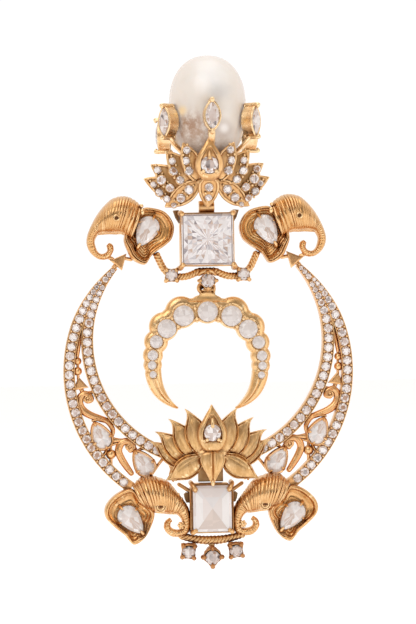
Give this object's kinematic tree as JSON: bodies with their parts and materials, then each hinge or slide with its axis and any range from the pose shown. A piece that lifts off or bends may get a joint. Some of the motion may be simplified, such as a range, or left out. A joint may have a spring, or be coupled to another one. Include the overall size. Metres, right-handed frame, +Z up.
{
  "type": "pair of chandbali earrings",
  "caption": "gilt drop earring with a pearl, lotus and elephant castings, a paved crescent frame and a swinging inner crescent, hung by an ear post",
  "frame": {"origin": "point where the ear post meets the back face of its seat disc, which lies against the front of the ear lobe", "axes": "+X to the right of a person looking at the front of the earring, +Y backward along the post through the ear, +Z up"},
  "size_m": [0.0478, 0.0263, 0.0842],
  "materials": {
    "gold": "gilt, matte brushed casting",
    "pearl": "pearl lustre",
    "clear_stone": "faceted, polished",
    "cloudy_stone": "faceted, slightly milky"
  },
  "bodies": {
    "frame": {"ear_post": "gold", "crown": "gold", "upper_lotus": "gold", "square_setting": "gold", "elephant_upper_left": "gold", "elephant_upper_right": "gold", "crescent_frame": "gold", "upper_garland": "gold", "lower_lotus": "gold", "lower_setting": "gold", "elephant_lower_left": "gold", "elephant_lower_right": "gold", "lower_garland": "gold", "pearl": "pearl", "marquise_stone_1": "clear_stone", "marquise_stone_2": "clear_stone", "marquise_stone_3": "clear_stone", "marquise_stone_4": "clear_stone", "marquise_stone_5": "clear_stone", "upper_lotus_stone": "clear_stone", "square_stone": "clear_stone", "garland_stone_1": "clear_stone", "garland_stone_2": "clear_stone", "garland_stone_3": "clear_stone", "ear_stone_upper_left": "clear_stone", "ear_stone_upper_right": "clear_stone", "ear_stone_lower_left": "clear_stone", "ear_stone_lower_right": "clear_stone", "frame_stone_1": "clear_stone", "frame_stone_2": "clear_stone", "frame_stone_3": "clear_stone", "frame_stone_4": "clear_stone", "lower_lotus_stone": "clear_stone", "lower_stone": "clear_stone", "bottom_stone_1": "clear_stone", "bottom_stone_2": "clear_stone", "bottom_stone_3": "clear_stone"},
    "drop": {"drop_crescent": "gold", "drop_stone_1": "cloudy_stone", "drop_stone_2": "cloudy_stone", "drop_stone_3": "cloudy_stone", "drop_stone_4": "cloudy_stone", "drop_stone_5": "cloudy_stone", "drop_stone_6": "cloudy_stone", "drop_stone_7": "cloudy_stone", "drop_stone_8": "cloudy_stone", "drop_stone_9": "cloudy_stone", "drop_stone_10": "cloudy_stone", "drop_stone_11": "cloudy_stone", "drop_stone_12": "cloudy_stone", "drop_stone_13": "cloudy_stone"}
  },
  "joints": [
    {"name": "drop_swing", "type": "hinge", "parent": "frame", "child": "drop", "pos_m": [0, -0.0045, -0.01935], "axis": [1, 0, 0], "range_deg": [-40, 45]}
  ]
}
